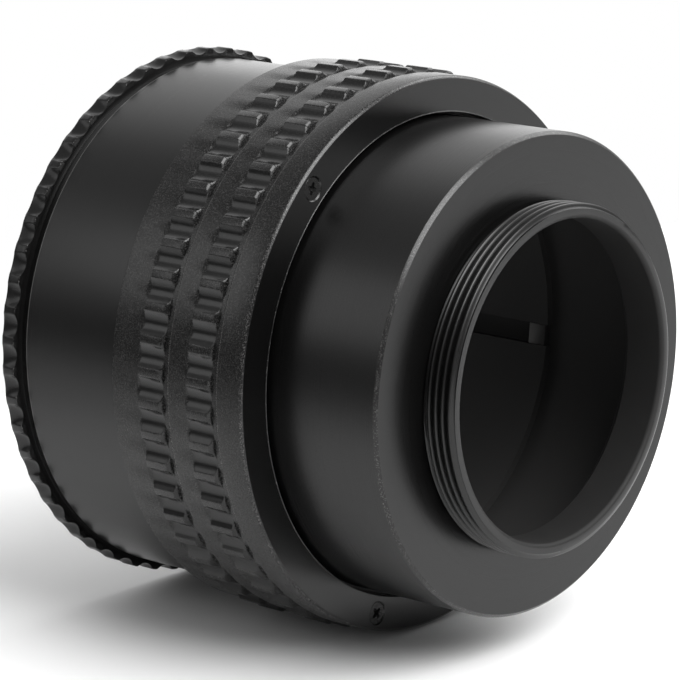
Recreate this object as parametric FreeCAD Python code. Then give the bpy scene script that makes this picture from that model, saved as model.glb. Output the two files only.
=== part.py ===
import FreeCAD, Part
import math
import os

# Focusing helicoid for lens and camera threads, shown at its longest.
# The axis of the light path runs along Y. The camera face is the plane y = 0 and
# looks towards -Y, the lens end lies towards +Y, and +Z is up. Millimetres.
# Radii follow outwards from the camera thread and places along the axis follow from
# the travel, so the walls, gaps and lengths below can each be changed by themselves.

# Threads and light path
MALE_THREAD_R = 21.0            # 42 mm thread, 1 mm pitch
MALE_THREAD_LENGTH = 4.5
MALE_THREAD_LEAD_IN = 0.45      # chamfer at the lip
THREAD_HEIGHT = 0.5             # crest to core of that thread
FEMALE_THREAD_LENGTH = 5.0
FEMALE_THREAD_LEAD_IN = 0.5
COLLAR_WALL = 1.8               # thread crest to the light path

# Travel
STAGE_TRAVEL = 15.0             # of each of the two stages
FOCUS_TURN = 270.0              # degrees, for the whole travel
STOP_GAP = 0.2                  # left between faces at the short end

# Fits
THREAD_CLEARANCE = 0.1          # radial, in the two helicoid threads
SLIDE_CLEARANCE = 0.1           # guide sleeve in the camera barrel
KEY_SIDE_CLEARANCE = 0.05
END_PLAY = 0.05                 # on each face of the sleeve's flange
SEAT_GAP = 0.02                 # between pieces that are screwed together

# Camera barrel
CAMERA_FACE_W = 7.9             # thread crest to the outside of the barrel
CAMERA_BARREL_WALL = 1.5
CAMERA_PLATE_T = 1.7
CAMERA_HOLE_BREAK = 1.1         # chamfer at the rear of the light path
CAMERA_EDGE_BREAK = 0.3
CAMERA_END_LEFT = 0.9           # of the barrel before the grip at the short end

# Focus grip ring
GRIP_WALL = 1.15                # bore to the plain lands
GRIP_FACE_T = 1.5
GRIP_HOLE_GAP = 0.5             # round the camera barrel
GRIP_NECK_GAP = 0.4             # round the lens barrel
GRIP_RIM_GAP = 1.8              # from the grip to the rim at the short end
GRIP_EDGE_BREAK = 0.35

# Fluted rows of the grip
FLUTE_COUNT = 56
FLUTE_R = 1.82
FLUTE_DEPTH = 0.75
FLUTE_FACETS = 4                # flats that stand for each hollow's arc
ROW_RISE = 0.45                 # crests above the plain lands
ROW_LENGTH = 3.6
ROW_GROOVE = 0.4                # relief in front of each row
ROW_GROOVE_DEPTH = 0.1          # below the flutes
FRONT_ROW_OFFSET = 4.2          # front of the grip to the first relief
ROW_SPACING = 7.6

# Helicoid ring, threaded inside and outside
COUNTERBORE_SHELF = 1.0         # width of the counterbore's floor
COUNTERBORE_WALL = 0.8
HELICOID_FLANGE_T = 1.6
HELICOID_FLANGE_GAP = 0.05

# Guide sleeve and its retaining ring
SLEEVE_WALL = 1.0
SLEEVE_FRONT_OFFSET = 2.4       # front of the grip to the sleeve's front edge
SLEEVE_FLANGE_T = 0.6
SLEEVE_FLANGE_GAP = 0.1
RETAINER_T = 0.7
RETAINER_INNER_GAP = 0.7        # from the sleeve's outside to the ring's hole
SPANNER_NOTCH_W = 1.2
SPANNER_NOTCH_DEPTH = 0.35

# Guide keys on the camera barrel and rails on the lens side
GUIDE_ANGLE = -5.6              # of the first key, from +X towards +Z
KEY_W = 2.6
KEY_LENGTH = 2.5
KEY_FRONT_MARGIN = 0.35         # sleeve's front edge to the key
KEY_END_MARGIN = 0.3            # key to the barrel's rear end
HUB_GAP = 0.4                   # from the sleeve's bore to the lens mount's hub
RAIL_RECESS = 0.08              # rail's outer face below the sleeve's outside
RAIL_ENGAGEMENT = 1.8           # of a rail in the sleeve, fully extended
RAIL_FRONT_GAP = 0.3            # past a rail's tip at the short end

# Rotation stop
STOP_PIN_R = 0.4
STOP_PIN_ROOT = 1.2             # held in the helicoid ring
STOP_PIN_PROUD = 0.5            # reach into the flange's notch
STOP_PIN_ANGLE = 100.0
STOP_NOTCH_GAP = 0.1

# Lens barrel
NECK_WALL = 1.3
RIM_STEP = 1.2                  # rim's crests above the neck
RIM_FLUTE_DEPTH = 0.7
RIM_W = 1.8
REAR_LIP_T = 0.8
REAR_LIP_GAP = 0.68             # lip's hole round the rails
MOUNT_SEAT_WALL = 0.6           # neck's outside to the seat of the lens mount

# Lens mount ring
MOUNT_PLATE_T = 1.0

# Screws: head radius, head depth, shank radius and length below the face
SMALL_ROUND_SIDES = 12          # of small screws and pins and of their holes
GRIP_SCREW_COUNT = 3
GRIP_SCREW_EDGE = 0.95          # centre to the outside of the helicoid's flange
GRIP_SCREW_ANGLE = 12.2
GRIP_SCREW_HEAD_R = 1.5
GRIP_SCREW_HEAD_T = 0.8
GRIP_SCREW_SHANK_R = 0.75
GRIP_SCREW_LENGTH = 2.9
MOUNT_SCREW_COUNT = 3
MOUNT_SCREW_ANGLE = 90.0
MOUNT_SCREW_HEAD_R = 1.3
MOUNT_SCREW_HEAD_T = 0.6
MOUNT_SCREW_SHANK_R = 0.6
MOUNT_SCREW_LENGTH = 1.6
KEY_SCREW_HEAD_R = 0.9
KEY_SCREW_HEAD_T = 0.4
KEY_SCREW_SHANK_R = 0.5
KEY_SCREW_LENGTH = 2.1
KEY_SCREW_SINK = 0.05           # head below the outside of the camera barrel
RAIL_SCREW_COUNT = 2            # in each rail
RAIL_SCREW_LENGTH = 2.6
RAIL_SCREW_FIRST = 0.9          # front of the hub to the first screw
RAIL_SCREW_SPACING = 2.1
SCREW_GAP = 0.03                # round a screw in its hole
SCREW_MOUTH = 0.5               # room kept clear above a screw's head

CUT_MARGIN = 1.0                # cutters run this far past the face they leave by

# Radii, outwards from the camera thread
light_path_r = MALE_THREAD_R - COLLAR_WALL
female_thread_r = MALE_THREAD_R - THREAD_HEIGHT
camera_barrel_r = MALE_THREAD_R + CAMERA_FACE_W
camera_bore_r = camera_barrel_r - CAMERA_BARREL_WALL
sleeve_r = camera_bore_r - SLIDE_CLEARANCE
sleeve_bore_r = sleeve_r - SLEEVE_WALL
helicoid_bore_r = camera_barrel_r + THREAD_CLEARANCE
counterbore_r = helicoid_bore_r + COUNTERBORE_SHELF
helicoid_r = counterbore_r + COUNTERBORE_WALL
neck_bore_r = helicoid_r + THREAD_CLEARANCE
neck_r = neck_bore_r + NECK_WALL
grip_bore_r = neck_r + GRIP_NECK_GAP
grip_r = grip_bore_r + GRIP_WALL
grip_hole_r = camera_barrel_r + GRIP_HOLE_GAP
helicoid_flange_r = grip_bore_r - HELICOID_FLANGE_GAP
sleeve_flange_r = counterbore_r - SLEEVE_FLANGE_GAP
retainer_hole_r = sleeve_r + RETAINER_INNER_GAP
row_crest_r = grip_r + ROW_RISE
flute_root_r = row_crest_r - FLUTE_DEPTH
row_core_r = flute_root_r - ROW_GROOVE_DEPTH
rim_crest_r = neck_r + RIM_STEP
rim_root_r = rim_crest_r - RIM_FLUTE_DEPTH
mount_seat_r = neck_r - MOUNT_SEAT_WALL
mount_hub_r = sleeve_bore_r - HUB_GAP
rail_inner_r = mount_hub_r + SEAT_GAP
rail_outer_r = sleeve_r - RAIL_RECESS
rear_lip_inner_r = rail_outer_r + REAR_LIP_GAP
stop_circle_r = (helicoid_bore_r + counterbore_r) / 2
grip_screw_circle_r = helicoid_flange_r - GRIP_SCREW_EDGE
mount_screw_circle_r = (rear_lip_inner_r + mount_seat_r) / 2

# Places along the axis, fully extended
grip_front = STAGE_TRAVEL + CAMERA_END_LEFT
helicoid_front = grip_front + GRIP_FACE_T + SEAT_GAP
helicoid_flange_rear = helicoid_front + HELICOID_FLANGE_T
sleeve_front = grip_front + SLEEVE_FRONT_OFFSET
key_front = sleeve_front + KEY_FRONT_MARGIN
key_rear = key_front + KEY_LENGTH
camera_barrel_rear = key_rear + KEY_END_MARGIN
sleeve_flange_front = camera_barrel_rear + STAGE_TRAVEL + STOP_GAP
sleeve_rear = sleeve_flange_front + SLEEVE_FLANGE_T
counterbore_floor = sleeve_flange_front - END_PLAY
retainer_front = sleeve_rear + END_PLAY
helicoid_rear = retainer_front + RETAINER_T
neck_front = helicoid_flange_rear + STAGE_TRAVEL + STOP_GAP
lip_front = helicoid_rear + STAGE_TRAVEL + STOP_GAP
seat_y = lip_front + REAR_LIP_T
lens_face = seat_y + MOUNT_PLATE_T
rim_front = lens_face - RIM_W
grip_rear = rim_front - STAGE_TRAVEL - GRIP_RIM_GAP
hub_front = lens_face - FEMALE_THREAD_LENGTH
rail_front = sleeve_rear - RAIL_ENGAGEMENT
first_relief = grip_front + FRONT_ROW_OFFSET
row_reliefs = [first_relief, first_relief + ROW_SPACING]

AXIS = FreeCAD.Vector(0, 1, 0)
CENTRE = FreeCAD.Vector(0, 0, 0)


def on_axis(y):
    return FreeCAD.Vector(0, y, 0)


def around(r, degrees, y):
    """A point at radius r, turned from +X towards +Z."""
    a = math.radians(degrees)
    return FreeCAD.Vector(r * math.cos(a), y, r * math.sin(a))


def turned(profile):
    """A solid of revolution from its (y, radius) corners."""
    corners = [FreeCAD.Vector(r, y, 0) for y, r in profile]
    outline = Part.makePolygon(corners + corners[:1])
    return Part.Face(outline).revolve(CENTRE, AXIS, 360)


def tube(y0, y1, inner_r, outer_r):
    return turned([(y0, inner_r), (y1, inner_r), (y1, outer_r), (y0, outer_r)])


def cylinder(y0, y1, r):
    return Part.makeCylinder(r, y1 - y0, on_axis(y0), AXIS)


def angles(count, first):
    return [first + i * 360 / count for i in range(count)]


def turned_about_axis(shape, degrees):
    """The shape turned from +X towards +Z."""
    copy = shape.copy()
    copy.rotate(CENTRE, AXIS, -degrees)
    return copy


def fluted_outline(y, crest_r, root_r):
    """Flat crests joined by hollow flutes, with a flute centred at the bottom."""
    centre_r = root_r + FLUTE_R
    cosine = (centre_r**2 + FLUTE_R**2 - crest_r**2) / (2 * centre_r * FLUTE_R)
    half_arc = math.degrees(math.acos(cosine))
    corners = []
    for middle in angles(FLUTE_COUNT, -90):
        for i in range(FLUTE_FACETS + 1):
            arc = half_arc * (2 * i / FLUTE_FACETS - 1)
            inwards = centre_r - FLUTE_R * math.cos(math.radians(arc))
            sideways = FLUTE_R * math.sin(math.radians(arc))
            turn = math.degrees(math.atan2(sideways, inwards))
            corners.append(around(math.hypot(inwards, sideways), middle + turn, y))
    return Part.makePolygon(corners + corners[:1])


def fluted_band(y0, y1, crest_r, root_r, core_r):
    """A fluted band with a round hole of core_r."""
    face = Part.Face(fluted_outline(y0, crest_r, root_r))
    band = face.extrude(on_axis(y1 - y0))
    return band.cut(cylinder(y0 - CUT_MARGIN, y1 + CUT_MARGIN, core_r))


def small_turned(profile):
    """A small screw, pin or hole from its (y, radius) corners, with flats for its round."""
    turns = angles(SMALL_ROUND_SIDES, 0)
    rings = [[around(r, a, y) for a in turns] for y, r in profile]
    outlines = [rings[0], rings[-1]]
    for near, far in zip(rings, rings[1:]):
        for i in range(SMALL_ROUND_SIDES):
            outlines.append([near[i - 1], near[i], far[i], far[i - 1]])
    flats = [Part.Face(Part.makePolygon(corners + corners[:1])) for corners in outlines]
    solid = Part.Solid(Part.Shell(flats))
    return solid if solid.Volume > 0 else solid.reversed()


def countersunk(head_r, head_t, shank_r, length):
    """A countersunk screw with its head's face at y = 0 and its shank towards +Y."""
    return small_turned([(0, head_r), (head_t, shank_r), (length, shank_r)])


def countersunk_hole(head_r, head_t, shank_r, length):
    """The room for such a screw, a little larger all round."""
    room_r = head_r + SCREW_GAP
    bore_r = shank_r + SCREW_GAP
    return small_turned([
        (-SCREW_MOUTH, room_r), (0, room_r), (head_t, bore_r), (length + SCREW_GAP, bore_r)])


def place_axial(shape, circle_r, degrees, y, towards_camera=False):
    """A screw or its hole, set parallel to the axis with its head at y."""
    copy = shape.copy()
    if towards_camera:
        copy.rotate(CENTRE, FreeCAD.Vector(0, 0, 1), 180)
    copy.translate(FreeCAD.Vector(circle_r, y, 0))
    return turned_about_axis(copy, degrees)


def place_radial(shape, head_at_r, degrees, y):
    """A screw or its hole, set across the axis from outside with its head at radius head_at_r."""
    copy = shape.copy()
    copy.rotate(CENTRE, FreeCAD.Vector(0, 0, 1), 90)
    copy.translate(FreeCAD.Vector(head_at_r, y, 0))
    return turned_about_axis(copy, degrees)


def bar(y0, y1, inner_r, outer_r, width):
    """A bar along the axis on the +X side, with its faces rounded to the two radii."""
    block = Part.makeBox(outer_r, y1 - y0, width, FreeCAD.Vector(0, y0, -width / 2))
    return block.common(tube(y0, y1, inner_r, outer_r))


def slot_cutter(y0, y1):
    """The room for a key or rail through the wall of the guide sleeve."""
    width = KEY_W + 2 * KEY_SIDE_CLEARANCE
    return Part.makeBox(sleeve_flange_r, y1 - y0, width, FreeCAD.Vector(0, y0, -width / 2))


def guide_angles(first):
    return angles(2, first)


grip_screw = countersunk(GRIP_SCREW_HEAD_R, GRIP_SCREW_HEAD_T, GRIP_SCREW_SHANK_R, GRIP_SCREW_LENGTH)
grip_screw_hole = countersunk_hole(
    GRIP_SCREW_HEAD_R, GRIP_SCREW_HEAD_T, GRIP_SCREW_SHANK_R, GRIP_SCREW_LENGTH)
mount_screw = countersunk(
    MOUNT_SCREW_HEAD_R, MOUNT_SCREW_HEAD_T, MOUNT_SCREW_SHANK_R, MOUNT_SCREW_LENGTH)
mount_screw_hole = countersunk_hole(
    MOUNT_SCREW_HEAD_R, MOUNT_SCREW_HEAD_T, MOUNT_SCREW_SHANK_R, MOUNT_SCREW_LENGTH)
key_screw = countersunk(KEY_SCREW_HEAD_R, KEY_SCREW_HEAD_T, KEY_SCREW_SHANK_R, KEY_SCREW_LENGTH)
key_screw_hole = countersunk_hole(
    KEY_SCREW_HEAD_R, KEY_SCREW_HEAD_T, KEY_SCREW_SHANK_R, KEY_SCREW_LENGTH)
rail_screw = countersunk(KEY_SCREW_HEAD_R, KEY_SCREW_HEAD_T, KEY_SCREW_SHANK_R, RAIL_SCREW_LENGTH)
rail_screw_hole = countersunk_hole(
    KEY_SCREW_HEAD_R, KEY_SCREW_HEAD_T, KEY_SCREW_SHANK_R, RAIL_SCREW_LENGTH)

key_y = (key_front + key_rear) / 2
key_head_r = camera_barrel_r - KEY_SCREW_SINK
rail_screw_ys = [hub_front + RAIL_SCREW_FIRST + i * RAIL_SCREW_SPACING for i in range(RAIL_SCREW_COUNT)]
key_angles = guide_angles(GUIDE_ANGLE)
rail_angles = guide_angles(GUIDE_ANGLE + 90)
grip_screw_angles = angles(GRIP_SCREW_COUNT, GRIP_SCREW_ANGLE)
mount_screw_angles = angles(MOUNT_SCREW_COUNT, MOUNT_SCREW_ANGLE)


def grip_screws(shape):
    return [place_axial(shape, grip_screw_circle_r, a, grip_front) for a in grip_screw_angles]


def mount_screws(shape):
    return [place_axial(shape, mount_screw_circle_r, a, lens_face, True) for a in mount_screw_angles]


def key_screws(shape):
    return [place_radial(shape, key_head_r, a, key_y) for a in key_angles]


def rail_screws(shape):
    return [place_radial(shape, rail_outer_r, a, y) for a in rail_angles for y in rail_screw_ys]


# Camera side
def camera_barrel():
    """Male thread collar, camera face and smooth barrel, turned from one piece."""
    lip = -MALE_THREAD_LENGTH
    body = turned([
        (lip, light_path_r),
        (lip, MALE_THREAD_R - MALE_THREAD_LEAD_IN),
        (lip + MALE_THREAD_LEAD_IN, MALE_THREAD_R),
        (0, MALE_THREAD_R),
        (0, camera_barrel_r - CAMERA_EDGE_BREAK),
        (CAMERA_EDGE_BREAK, camera_barrel_r),
        (camera_barrel_rear, camera_barrel_r),
        (camera_barrel_rear, camera_bore_r),
        (CAMERA_PLATE_T, camera_bore_r),
        (CAMERA_PLATE_T, light_path_r + CAMERA_HOLE_BREAK),
        (CAMERA_PLATE_T - CAMERA_HOLE_BREAK, light_path_r),
    ])
    return body.cut(key_screws(key_screw_hole))


def camera_guide_key(degrees):
    """One key inside the rear end of the camera barrel."""
    key = turned_about_axis(bar(key_front, key_rear, sleeve_bore_r, camera_bore_r - SEAT_GAP, KEY_W), degrees)
    return key.cut(key_screws(key_screw_hole))


# Guide sleeve
def guide_sleeve():
    """Keyed sleeve that slides without turning, with a flange held in the helicoid ring."""
    sleeve = tube(sleeve_front, sleeve_rear, sleeve_bore_r, sleeve_r)
    flange = tube(sleeve_flange_front, sleeve_rear, sleeve_r - SLEEVE_WALL / 2, sleeve_flange_r)
    body = sleeve.fuse(flange).removeSplitter()
    key_slot = slot_cutter(sleeve_front - CUT_MARGIN, key_rear + STAGE_TRAVEL + STOP_GAP)
    rail_slot = slot_cutter(rail_front - STAGE_TRAVEL - RAIL_FRONT_GAP, sleeve_rear + CUT_MARGIN)
    rail_slot = rail_slot.common(cylinder(sleeve_front, sleeve_rear + CUT_MARGIN, sleeve_r + SLIDE_CLEARANCE))
    cutters = [turned_about_axis(key_slot, a) for a in key_angles]
    cutters += [turned_about_axis(rail_slot, a) for a in rail_angles]
    cutters.append(stop_notch())
    return body.cut(cutters)


def stop_notch():
    """The arc in the flange that the stop pin runs in."""
    room_r = STOP_PIN_R + STOP_NOTCH_GAP
    margin = math.degrees(math.asin(room_r / stop_circle_r))
    sweep = FOCUS_TURN + 2 * margin
    start = STOP_PIN_ANGLE + margin
    y0 = sleeve_flange_front - CUT_MARGIN
    y1 = sleeve_rear + CUT_MARGIN
    inner_r = stop_circle_r - room_r
    outer_r = sleeve_flange_r + CUT_MARGIN
    section = Part.makePolygon([
        FreeCAD.Vector(inner_r, y0, 0), FreeCAD.Vector(inner_r, y1, 0),
        FreeCAD.Vector(outer_r, y1, 0), FreeCAD.Vector(outer_r, y0, 0),
        FreeCAD.Vector(inner_r, y0, 0)])
    sector = Part.Face(section).revolve(CENTRE, AXIS, sweep)
    return turned_about_axis(sector, start)


# Focus ring
def focus_grip_ring():
    """The ring that is gripped, with its face, two fluted rows and plain lands."""
    edge = GRIP_EDGE_BREAK
    profile = [
        (grip_front, grip_hole_r),
        (grip_front + GRIP_FACE_T, grip_hole_r),
        (grip_front + GRIP_FACE_T, grip_bore_r),
        (grip_rear, grip_bore_r),
        (grip_rear, grip_r),
    ]
    for relief in reversed(row_reliefs):
        row_rear = relief + ROW_GROOVE + ROW_LENGTH
        profile += [(row_rear, grip_r), (row_rear, row_core_r), (relief, row_core_r), (relief, grip_r)]
    profile += [(grip_front + edge, grip_r), (grip_front, grip_r - edge)]
    rows = [grip_row(relief + ROW_GROOVE) for relief in row_reliefs]
    body = turned(profile).fuse(rows).removeSplitter()
    return body.cut(grip_screws(grip_screw_hole))


def grip_row(y0):
    core_r = (grip_bore_r + row_core_r) / 2
    return fluted_band(y0, y0 + ROW_LENGTH, row_crest_r, flute_root_r, core_r)


def helicoid_ring():
    """The ring that carries both helicoid threads, screwed to the grip by its flange."""
    body = turned([
        (helicoid_front, helicoid_bore_r),
        (counterbore_floor, helicoid_bore_r),
        (counterbore_floor, counterbore_r),
        (helicoid_rear, counterbore_r),
        (helicoid_rear, helicoid_r),
        (helicoid_flange_rear, helicoid_r),
        (helicoid_flange_rear, helicoid_flange_r),
        (helicoid_front, helicoid_flange_r),
    ])
    pin_hole_r = STOP_PIN_R + SCREW_GAP
    pin_hole = small_turned([
        (counterbore_floor - STOP_PIN_ROOT, pin_hole_r), (counterbore_floor + CUT_MARGIN, pin_hole_r)])
    pin_hole.translate(FreeCAD.Vector(stop_circle_r, 0, 0))
    return body.cut(grip_screws(grip_screw_hole) + [turned_about_axis(pin_hole, STOP_PIN_ANGLE)])


def stop_pin():
    """The pin that ends the turn at both limits."""
    root = counterbore_floor - STOP_PIN_ROOT
    pin = small_turned([(root, STOP_PIN_R), (sleeve_flange_front + STOP_PIN_PROUD, STOP_PIN_R)])
    pin.translate(FreeCAD.Vector(stop_circle_r, 0, 0))
    return turned_about_axis(pin, STOP_PIN_ANGLE)


def sleeve_retaining_ring():
    """Threaded ring that closes the counterbore behind the sleeve's flange."""
    ring = tube(retainer_front, helicoid_rear, retainer_hole_r, counterbore_r - SEAT_GAP)
    notch = Part.makeBox(counterbore_r, 2 * SPANNER_NOTCH_DEPTH, SPANNER_NOTCH_W,
                         FreeCAD.Vector(0, helicoid_rear - SPANNER_NOTCH_DEPTH, -SPANNER_NOTCH_W / 2))
    return ring.cut([turned_about_axis(notch, a) for a in angles(2, STOP_PIN_ANGLE + 45)])


# Lens side
def lens_barrel():
    """Smooth neck with a fluted rim and an inner lip for the lens mount."""
    body = turned([
        (neck_front, neck_bore_r),
        (lip_front, neck_bore_r),
        (lip_front, rear_lip_inner_r),
        (seat_y, rear_lip_inner_r),
        (seat_y, mount_seat_r),
        (lens_face, mount_seat_r),
        (lens_face, neck_r),
        (neck_front, neck_r),
    ])
    core_r = (mount_seat_r + neck_r) / 2
    rim = fluted_band(rim_front, lens_face, rim_crest_r, rim_root_r, core_r)
    body = body.fuse(rim).removeSplitter()
    return body.cut(mount_screws(mount_screw_hole))


def lens_mount_ring():
    """Plate and hub with the female thread for the lens."""
    body = turned([
        (hub_front, female_thread_r),
        (lens_face - FEMALE_THREAD_LEAD_IN, female_thread_r),
        (lens_face, female_thread_r + FEMALE_THREAD_LEAD_IN),
        (lens_face, mount_seat_r - SEAT_GAP),
        (seat_y + SEAT_GAP, mount_seat_r - SEAT_GAP),
        (seat_y + SEAT_GAP, mount_hub_r),
        (hub_front, mount_hub_r),
    ])
    return body.cut(mount_screws(mount_screw_hole) + rail_screws(rail_screw_hole))


def lens_guide_rail(degrees):
    """One rail from the hub into the guide sleeve."""
    rail = turned_about_axis(bar(rail_front, seat_y, rail_inner_r, rail_outer_r, KEY_W), degrees)
    return rail.cut(rail_screws(rail_screw_hole))


def build():
    nodes = {
        "camera_barrel": camera_barrel(),
        "camera_guide_key_right": camera_guide_key(key_angles[0]),
        "camera_guide_key_left": camera_guide_key(key_angles[1]),
        "camera_key_screws": Part.makeCompound(key_screws(key_screw)),
        "guide_sleeve": guide_sleeve(),
        "focus_grip_ring": focus_grip_ring(),
        "focus_grip_screws": Part.makeCompound(grip_screws(grip_screw)),
        "helicoid_ring": helicoid_ring(),
        "rotation_stop_pin": stop_pin(),
        "sleeve_retaining_ring": sleeve_retaining_ring(),
        "lens_barrel": lens_barrel(),
        "lens_mount_ring": lens_mount_ring(),
        "lens_mount_screws": Part.makeCompound(mount_screws(mount_screw)),
        "lens_guide_rail_upper": lens_guide_rail(rail_angles[0]),
        "lens_guide_rail_lower": lens_guide_rail(rail_angles[1]),
        "lens_rail_screws": Part.makeCompound(rail_screws(rail_screw)),
    }
    return nodes


os.makedirs("parts", exist_ok=True)
for name, shape in build().items():
    shape.exportStep("parts/" + name + ".step")
    print(name, "solids", len(shape.Solids), "valid", shape.isValid(), "mm3", round(shape.Volume, 2))
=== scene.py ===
import math

import bmesh
import bpy
from mathutils import Matrix, Vector


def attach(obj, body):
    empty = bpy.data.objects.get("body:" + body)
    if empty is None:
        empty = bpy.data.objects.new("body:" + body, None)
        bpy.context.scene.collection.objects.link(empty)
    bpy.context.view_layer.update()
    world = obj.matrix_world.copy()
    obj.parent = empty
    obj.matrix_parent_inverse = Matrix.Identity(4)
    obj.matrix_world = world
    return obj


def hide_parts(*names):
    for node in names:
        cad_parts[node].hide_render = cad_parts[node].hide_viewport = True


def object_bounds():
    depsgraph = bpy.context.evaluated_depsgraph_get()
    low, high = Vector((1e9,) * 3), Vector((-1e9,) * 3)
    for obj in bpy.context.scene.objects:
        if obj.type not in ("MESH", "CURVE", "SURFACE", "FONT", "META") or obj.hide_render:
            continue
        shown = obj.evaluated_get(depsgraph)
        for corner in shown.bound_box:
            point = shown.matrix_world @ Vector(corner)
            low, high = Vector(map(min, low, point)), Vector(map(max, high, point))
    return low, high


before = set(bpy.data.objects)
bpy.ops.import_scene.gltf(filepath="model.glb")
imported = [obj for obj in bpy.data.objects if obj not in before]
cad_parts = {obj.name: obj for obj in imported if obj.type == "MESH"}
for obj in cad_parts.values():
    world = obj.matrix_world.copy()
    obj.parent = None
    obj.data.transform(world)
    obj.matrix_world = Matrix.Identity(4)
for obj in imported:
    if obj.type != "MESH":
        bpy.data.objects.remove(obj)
cad_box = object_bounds()

# %% [markdown]
# The focusing helicoid is turned on a lathe, so nearly every shape here is a line that was swept
# round one axis. The axis is Y. A profile is written as (y, radius) corners in millimetres, which is
# how a turner reads a drawing, and each finished piece is scaled to metres at the very end. The
# modelling operators do the rest, so a change of one number reshapes the whole piece.

# %% Lathe tools: places, wires and turning
AXIS = Vector((0, 1, 0))
CENTRE = Vector((0, 0, 0))
METRE_PER_MM = 0.001
FULL_TURN = 2 * math.pi
WELD = 1e-4  # corners closer than this, in millimetres, become one
STEPS = 256  # facets round a plain turned piece


def at(r, degrees, y):
    """A point at radius r, turned from +X towards +Z."""
    a = math.radians(degrees)
    return Vector((r * math.cos(a), y, r * math.sin(a)))


def radius(point):
    return math.hypot(point.x, point.z)


def set_radius(vert, r, y):
    """Moves a corner to another radius and place along the axis, on the same side of the axis."""
    keep = r / radius(vert.co)
    vert.co = Vector((vert.co.x * keep, y, vert.co.z * keep))


def line(bm, corners):
    """A wire through (y, radius) corners, in the plane z = 0."""
    verts = [bm.verts.new((r, y, 0)) for y, r in corners]
    edges = [bm.edges.new(pair) for pair in zip(verts, verts[1:])]
    return verts, edges


def verts_of(edges):
    return list({v for e in edges for v in e.verts})


def round_corner(bm, corner, size, edges):
    """Rounds one corner of a wire and returns all the wire's edges."""
    others = [e for e in edges if corner not in e.verts]
    kept = [e for e in edges if corner in e.verts]
    before = set(bm.edges) - set(kept)
    bmesh.ops.bevel(bm, geom=[corner], offset=size, segments=6, profile=0.5, affect="VERTICES",
                    material=-1)
    return others + [e for e in bm.edges if e not in before]


def turn(bm, verts, edges):
    """Sweeps a wire once round the axis and welds the seam."""
    bmesh.ops.spin(bm, geom=verts + edges, cent=CENTRE, axis=AXIS, angle=FULL_TURN, steps=STEPS,
                   use_merge=True)


print("a facet at a radius of 30 mm is", round(FULL_TURN * 30 / STEPS, 2), "mm wide")

# %% [markdown]
# Holes, screws and flutes grow from an open ring or wire: it is extruded, and the new copy is moved
# to its own radius and place. Three small helpers find, make and extrude such rings.

# %% Ring tools
RING_SIDES = 48  # facets round a screw or its hole


def ring_at(bm, y, r):
    """The edges of the ring at one place along the axis and one radius."""
    def near(v):
        return abs(v.co.y - y) < WELD * 10 and abs(radius(v.co) - r) < WELD * 10
    return [e for e in bm.edges if near(e.verts[0]) and near(e.verts[1])]


def small_ring(bm, centre, r):
    """The edges of a small circle that faces along the axis."""
    verts = bmesh.ops.create_circle(bm, segments=RING_SIDES, radius=r)["verts"]
    bmesh.ops.rotate(bm, cent=CENTRE, matrix=Matrix.Rotation(math.pi / 2, 3, "X"), verts=verts)
    bmesh.ops.translate(bm, vec=centre, verts=verts)
    return list({e for v in verts for e in v.link_edges})


def extrude(bm, edges):
    """Extrudes open edges and returns the new corners and the new edges."""
    out = bmesh.ops.extrude_edge_only(bm, edges=edges)["geom"]
    verts = [g for g in out if isinstance(g, bmesh.types.BMVert)]
    return verts, [g for g in out if isinstance(g, bmesh.types.BMEdge)]


# %% [markdown]
# Every new piece ends the same way. Its corners are welded, its faces point outwards, and edges that
# bend by more than 30 degrees are marked sharp, so that chamfers stay crisp and cylinders stay
# smooth. Then it joins the body that it moves with and takes the place of its plain CAD node.

# %% Handing over a finished piece
SHARP_DEGREES = 30


def finished(bm, name, body, stands_for, material):
    """Welds, turns the faces outwards, scales to metres and hands the piece to its body."""
    bmesh.ops.remove_doubles(bm, verts=bm.verts, dist=WELD)
    bmesh.ops.recalc_face_normals(bm, faces=bm.faces)
    bmesh.ops.scale(bm, vec=(METRE_PER_MM,) * 3, verts=bm.verts)
    open_edges = sum(not e.is_manifold for e in bm.edges)
    mesh = bpy.data.meshes.new(name)
    bm.to_mesh(mesh)
    bm.free()
    mesh.shade_smooth()
    mesh.set_sharp_from_angle(angle=math.radians(SHARP_DEGREES))
    mesh.materials.append(material)
    piece = bpy.data.objects.new(name, mesh)
    bpy.context.scene.collection.objects.link(piece)
    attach(piece, body)
    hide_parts(stands_for)
    print(name, "faces", len(mesh.polygons), "open edges", open_edges)


# %% [markdown]
# Shader maths is easier to read as plain sums. A Reading is one number that a shader works out at
# each point; adding or multiplying two Readings places the Math node that does it. Colours and
# directions keep to the Mix and Vector Math nodes, and every other node comes from Finish.node.

# %% Shader sums
class Reading:
    """One number that a shader works out, for use in plain sums."""

    def __init__(self, finish, socket):
        self.finish = finish
        self.socket = socket

    def sum(self, operation, *terms):
        return self.finish.node("ShaderNodeMath", {"operation": operation}, dict(enumerate(terms)))

    def __add__(self, other):
        return self.sum("ADD", self, other)

    def __radd__(self, other):
        return self.sum("ADD", other, self)

    def __sub__(self, other):
        return self.sum("SUBTRACT", self, other)

    def __rsub__(self, other):
        return self.sum("SUBTRACT", other, self)

    def __mul__(self, other):
        return self.sum("MULTIPLY", self, other)

    def __rmul__(self, other):
        return self.sum("MULTIPLY", other, self)

    def __pow__(self, other):
        return self.sum("POWER", self, other)


# %% [markdown]
# A Finish is a material, or the world, while its nodes are being placed. A point on a piece is read
# in millimetres, so a noise of scale 5 has five grains to the millimetre. Patterns read the piece's
# own coordinates, which stay with the metal when the ring turns.

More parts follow.
